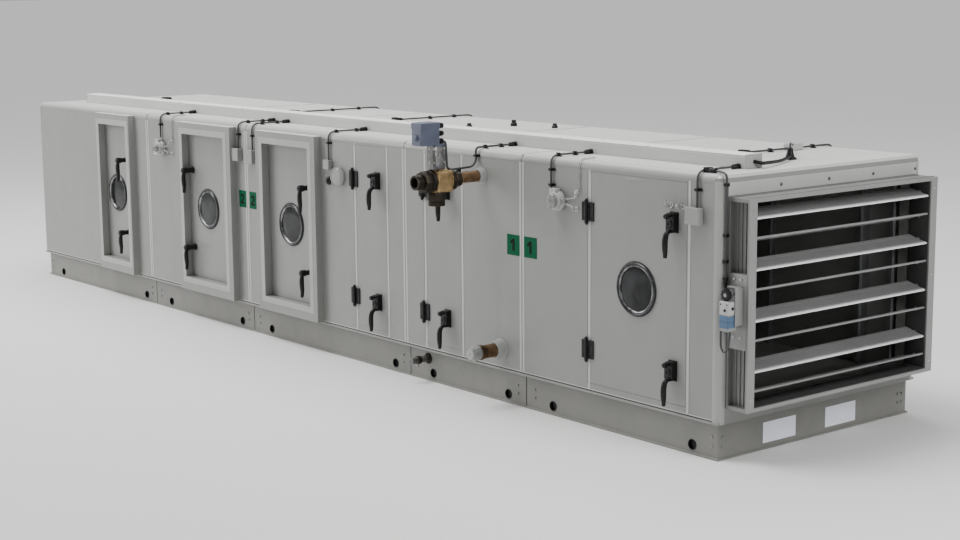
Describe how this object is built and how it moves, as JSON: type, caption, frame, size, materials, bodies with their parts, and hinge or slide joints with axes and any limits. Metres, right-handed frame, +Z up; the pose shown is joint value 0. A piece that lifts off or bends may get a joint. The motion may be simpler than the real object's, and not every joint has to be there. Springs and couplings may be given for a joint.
{
  "type": "air handling unit",
  "caption": "Long modular air handling unit on a channel base, with hinged access doors, portholes, intake damper, fan, coil, filters and a three-way control valve.",
  "frame": {"origin": "on the floor under the middle of the base, at the underside of a cross member", "axes": "+X along the unit towards the intake damper, +Y away from the service side with the doors, +Z up"},
  "size_m": [6.62, 1.718, 1.356],
  "materials": {
    "casing_coating": "light warm grey powder coat, satin",
    "base_coating": "mid grey paint on channel steel, satin",
    "black_plastic": "glass-filled nylon, fine grain",
    "window_glazing": "clear window in a dark rim",
    "blade_aluminium": "extruded, bright nose",
    "fan_aluminium": "satin sheet",
    "coil_metal": "finned block with copper headers",
    "galvanised_sheet": "galvanised",
    "bronze": "cast bronze, slightly tarnished",
    "stem_steel": "turned",
    "actuator_body": "moulded housing",
    "filter_media": "pleated synthetic media in a frame",
    "motor_paint": "gloss enamel on cast housing"
  },
  "bodies": {
    "casing": {"base_frame_1": "base_coating", "base_frame_2": "base_coating", "base_frame_3": "base_coating", "base_frame_4": "base_coating", "base_frame_5": "base_coating", "casing_section_1": "casing_coating", "casing_section_2": "casing_coating", "casing_section_3": "casing_coating", "casing_section_4": "casing_coating", "casing_section_5": "casing_coating", "hinge_a_lower": "black_plastic", "hinge_a_upper": "black_plastic", "hinge_b_lower": "black_plastic", "hinge_b_upper": "black_plastic", "hinge_c_lower": "black_plastic", "hinge_c_upper": "black_plastic", "damper_frame": "casing_coating", "damper_actuator": "actuator_body", "prefilter_bank": "filter_media", "final_filter_bank": "filter_media", "cooling_coil": "coil_metal", "drain_pan": "galvanised_sheet", "fan_bulkhead": "galvanised_sheet", "fan_motor": "motor_paint", "fan_pedestal": "galvanised_sheet", "valve_body": "bronze", "valve_actuator": "actuator_body", "cable_trunk": "casing_coating"},
    "door_1": {"door_1": "casing_coating", "porthole_1": "window_glazing"},
    "handle_1_lower": {"handle_1_lower": "black_plastic"},
    "handle_1_upper": {"handle_1_upper": "black_plastic"},
    "door_2": {"door_2": "casing_coating", "porthole_2": "window_glazing"},
    "handle_2_lower": {"handle_2_lower": "black_plastic"},
    "handle_2_upper": {"handle_2_upper": "black_plastic"},
    "door_3": {"door_3": "casing_coating", "porthole_3": "window_glazing"},
    "handle_3_lower": {"handle_3_lower": "black_plastic"},
    "handle_3_upper": {"handle_3_upper": "black_plastic"},
    "door_a": {"door_a": "casing_coating"},
    "handle_a_lower": {"handle_a_lower": "black_plastic"},
    "handle_a_upper": {"handle_a_upper": "black_plastic"},
    "door_b": {"door_b": "casing_coating"},
    "handle_b_lower": {"handle_b_lower": "black_plastic"},
    "handle_b_upper": {"handle_b_upper": "black_plastic"},
    "door_c": {"door_c": "casing_coating", "porthole_c": "window_glazing"},
    "handle_c_lower": {"handle_c_lower": "black_plastic"},
    "handle_c_upper": {"handle_c_upper": "black_plastic"},
    "damper_blade_1": {"damper_blade_1": "blade_aluminium"},
    "damper_blade_2": {"damper_blade_2": "blade_aluminium"},
    "damper_blade_3": {"damper_blade_3": "blade_aluminium"},
    "damper_blade_4": {"damper_blade_4": "blade_aluminium"},
    "damper_blade_5": {"damper_blade_5": "blade_aluminium"},
    "damper_blade_6": {"damper_blade_6": "blade_aluminium"},
    "damper_blade_7": {"damper_blade_7": "blade_aluminium"},
    "damper_blade_8": {"damper_blade_8": "blade_aluminium"},
    "fan_impeller": {"fan_impeller": "fan_aluminium"},
    "valve_stem": {"valve_stem": "stem_steel"}
  },
  "joints": [
    {"name": "door_a_swing", "type": "hinge", "parent": "casing", "child": "door_a", "pos_m": [0.603, -0.671, 0.685], "axis": [0, 0, -1], "range_deg": [0, 110]},
    {"name": "door_b_swing", "type": "hinge", "parent": "casing", "child": "door_b", "pos_m": [1.211, -0.671, 0.685], "axis": [0, 0, -1], "range_deg": [0, 110]},
    {"name": "door_c_swing", "type": "hinge", "parent": "casing", "child": "door_c", "pos_m": [2.42, -0.671, 0.685], "axis": [0, 0, -1], "range_deg": [0, 110]},
    {"name": "door_1_swing", "type": "hinge", "parent": "casing", "child": "door_1", "pos_m": [-2.24, -0.615, 0.685], "axis": [0, 0, 1], "range_deg": [0, 85]},
    {"name": "door_2_swing", "type": "hinge", "parent": "casing", "child": "door_2", "pos_m": [-0.645, -0.615, 0.685], "axis": [0, 0, -1], "range_deg": [0, 85]},
    {"name": "door_3_swing", "type": "hinge", "parent": "casing", "child": "door_3", "pos_m": [-0.245, -0.615, 0.685], "axis": [0, 0, 1], "range_deg": [0, 85]},
    {"name": "handle_a_lower_turn", "type": "hinge", "parent": "door_a", "child": "handle_a_lower", "pos_m": [0.815, -0.66, 0.352], "axis": [0, 1, 0], "range_deg": [0, 90]},
    {"name": "handle_a_upper_turn", "type": "hinge", "parent": "door_a", "child": "handle_a_upper", "pos_m": [0.815, -0.66, 0.99], "axis": [0, 1, 0], "range_deg": [0, 90]},
    {"name": "handle_b_lower_turn", "type": "hinge", "parent": "door_b", "child": "handle_b_lower", "pos_m": [1.398, -0.66, 0.352], "axis": [0, 1, 0], "range_deg": [0, 90]},
    {"name": "handle_b_upper_turn", "type": "hinge", "parent": "door_b", "child": "handle_b_upper", "pos_m": [1.398, -0.66, 0.99], "axis": [0, 1, 0], "range_deg": [0, 90]},
    {"name": "handle_c_lower_turn", "type": "hinge", "parent": "door_c", "child": "handle_c_lower", "pos_m": [2.955, -0.66, 0.352], "axis": [0, 1, 0], "range_deg": [0, 90]},
    {"name": "handle_c_upper_turn", "type": "hinge", "parent": "door_c", "child": "handle_c_upper", "pos_m": [2.955, -0.66, 0.99], "axis": [0, 1, 0], "range_deg": [0, 90]},
    {"name": "handle_1_lower_turn", "type": "hinge", "parent": "door_1", "child": "handle_1_lower", "pos_m": [-1.945, -0.655, 0.432], "axis": [0, 1, 0], "range_deg": [0, 90]},
    {"name": "handle_1_upper_turn", "type": "hinge", "parent": "door_1", "child": "handle_1_upper", "pos_m": [-1.945, -0.655, 0.9], "axis": [0, 1, 0], "range_deg": [0, 90]},
    {"name": "handle_2_lower_turn", "type": "hinge", "parent": "door_2", "child": "handle_2_lower", "pos_m": [-1.098, -0.655, 0.432], "axis": [0, -1, 0], "range_deg": [0, 90]},
    {"name": "handle_2_upper_turn", "type": "hinge", "parent": "door_2", "child": "handle_2_upper", "pos_m": [-1.098, -0.655, 0.9], "axis": [0, -1, 0], "range_deg": [0, 90]},
    {"name": "handle_3_lower_turn", "type": "hinge", "parent": "door_3", "child": "handle_3_lower", "pos_m": [0.175, -0.655, 0.432], "axis": [0, 1, 0], "range_deg": [0, 90]},
    {"name": "handle_3_upper_turn", "type": "hinge", "parent": "door_3", "child": "handle_3_upper", "pos_m": [0.175, -0.655, 0.9], "axis": [0, 1, 0], "range_deg": [0, 90]},
    {"name": "damper_blade_1_turn", "type": "hinge", "parent": "casing", "child": "damper_blade_1", "pos_m": [3.28, 0, 1.047], "axis": [0, -1, 0], "range_deg": [-74, 16]},
    {"name": "damper_blade_2_turn", "type": "hinge", "parent": "casing", "child": "damper_blade_2", "pos_m": [3.28, 0, 0.94], "axis": [0, -1, 0], "range_deg": [-16, 74]},
    {"name": "damper_blade_3_turn", "type": "hinge", "parent": "casing", "child": "damper_blade_3", "pos_m": [3.28, 0, 0.833], "axis": [0, -1, 0], "range_deg": [-74, 16]},
    {"name": "damper_blade_4_turn", "type": "hinge", "parent": "casing", "child": "damper_blade_4", "pos_m": [3.28, 0, 0.726], "axis": [0, -1, 0], "range_deg": [-16, 74]},
    {"name": "damper_blade_5_turn", "type": "hinge", "parent": "casing", "child": "damper_blade_5", "pos_m": [3.28, 0, 0.619], "axis": [0, -1, 0], "range_deg": [-74, 16]},
    {"name": "damper_blade_6_turn", "type": "hinge", "parent": "casing", "child": "damper_blade_6", "pos_m": [3.28, 0, 0.512], "axis": [0, -1, 0], "range_deg": [-16, 74]},
    {"name": "damper_blade_7_turn", "type": "hinge", "parent": "casing", "child": "damper_blade_7", "pos_m": [3.28, 0, 0.405], "axis": [0, -1, 0], "range_deg": [-74, 16]},
    {"name": "damper_blade_8_turn", "type": "hinge", "parent": "casing", "child": "damper_blade_8", "pos_m": [3.28, 0, 0.298], "axis": [0, -1, 0], "range_deg": [-16, 74]},
    {"name": "fan_spin", "type": "hinge", "parent": "casing", "child": "fan_impeller", "pos_m": [0.3, 0, 0.685], "axis": [1, 0, 0], "continuous": true},
    {"name": "valve_stem_lift", "type": "slide", "parent": "casing", "child": "valve_stem", "axis": [0, 0, 1], "range_m": [0, 0.02]}
  ],
  "couplings": [
    {"joint": "damper_blade_1_turn", "follows": "damper_blade_4_turn", "ratio": -1},
    {"joint": "damper_blade_2_turn", "follows": "damper_blade_4_turn", "ratio": 1},
    {"joint": "damper_blade_3_turn", "follows": "damper_blade_4_turn", "ratio": -1},
    {"joint": "damper_blade_5_turn", "follows": "damper_blade_4_turn", "ratio": -1},
    {"joint": "damper_blade_6_turn", "follows": "damper_blade_4_turn", "ratio": 1},
    {"joint": "damper_blade_7_turn", "follows": "damper_blade_4_turn", "ratio": -1},
    {"joint": "damper_blade_8_turn", "follows": "damper_blade_4_turn", "ratio": 1}
  ]
}
